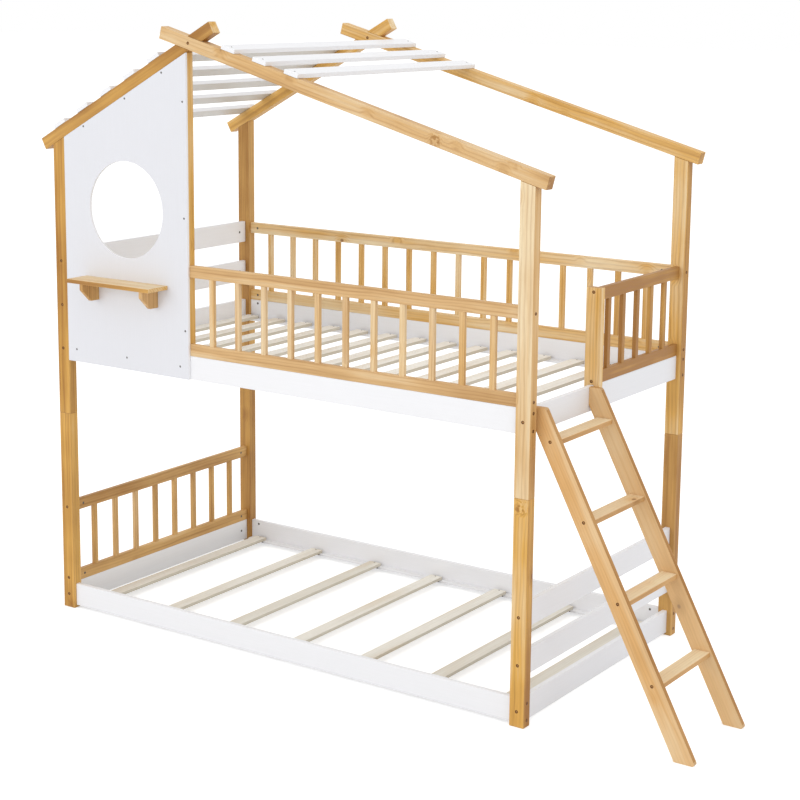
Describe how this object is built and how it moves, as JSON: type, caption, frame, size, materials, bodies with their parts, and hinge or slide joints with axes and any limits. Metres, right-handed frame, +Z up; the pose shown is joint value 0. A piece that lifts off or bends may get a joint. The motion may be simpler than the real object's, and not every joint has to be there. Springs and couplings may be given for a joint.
{
  "type": "house bunk bed",
  "caption": "Twin-over-twin bunk bed in pine and white paint, with a pitched house roof frame, a panel with a round window and a small shelf, baluster guards and a leaning end ladder.",
  "frame": {"origin": "middle of the footprint, on the floor", "axes": "+X along the bed from the headboard end to the ladder end, +Y from the front side with the window panel to the back, +Z up"},
  "size_m": [2.6034, 1.17, 2.1631],
  "materials": {
    "pine": "clear satin lacquer over honey pine",
    "pale_pine": "clear satin lacquer over pale pine",
    "white_paint": "white satin paint",
    "raw_slat": "raw sawn softwood"
  },
  "bodies": {
    "root": {"back_guard": "pine", "back_left_rafter": "pine", "back_right_rafter": "pine", "end_guard": "pine", "front_guard": "pine", "front_left_rafter": "pine", "front_right_rafter": "pine", "guard_short_post": "pine", "headboard": "pine", "ladder_stringer_back": "pale_pine", "ladder_stringer_front": "pale_pine", "ladder_tread_1": "pale_pine", "ladder_tread_2": "pale_pine", "ladder_tread_3": "pale_pine", "ladder_tread_4": "pale_pine", "left_end_board_high": "white_paint", "left_end_board_low": "white_paint", "lower_back_cleat": "white_paint", "lower_back_rail": "white_paint", "lower_front_cleat": "white_paint", "lower_front_rail": "white_paint", "lower_left_end_rail": "white_paint", "lower_post_back_left": "pine", "lower_post_back_right": "pine", "lower_post_front_left": "pine", "lower_post_front_right": "pine", "lower_right_end_rail": "white_paint", "lower_slat_1": "raw_slat", "lower_slat_2": "raw_slat", "lower_slat_3": "raw_slat", "lower_slat_4": "raw_slat", "lower_slat_5": "raw_slat", "lower_slat_6": "raw_slat", "lower_slat_7": "raw_slat", "panel_jamb": "pine", "right_end_board_high": "white_paint", "right_end_board_low": "white_paint", "roof_slat_left_1": "white_paint", "roof_slat_left_2": "white_paint", "roof_slat_left_3": "white_paint", "roof_slat_left_4": "white_paint", "roof_slat_left_5": "white_paint", "roof_slat_right_1": "white_paint", "roof_slat_right_2": "white_paint", "roof_slat_right_3": "white_paint", "shelf": "pine", "shelf_bracket_left": "pine", "shelf_bracket_right": "pine", "upper_back_rail": "white_paint", "upper_front_rail": "white_paint", "upper_left_end_rail": "white_paint", "upper_post_back_left": "pine", "upper_post_back_right": "pine", "upper_post_front_left": "pine", "upper_post_front_right": "pine", "upper_right_end_rail": "white_paint", "upper_slat_deck": "raw_slat", "window_panel": "white_paint"}
  },
  "joints": []
}
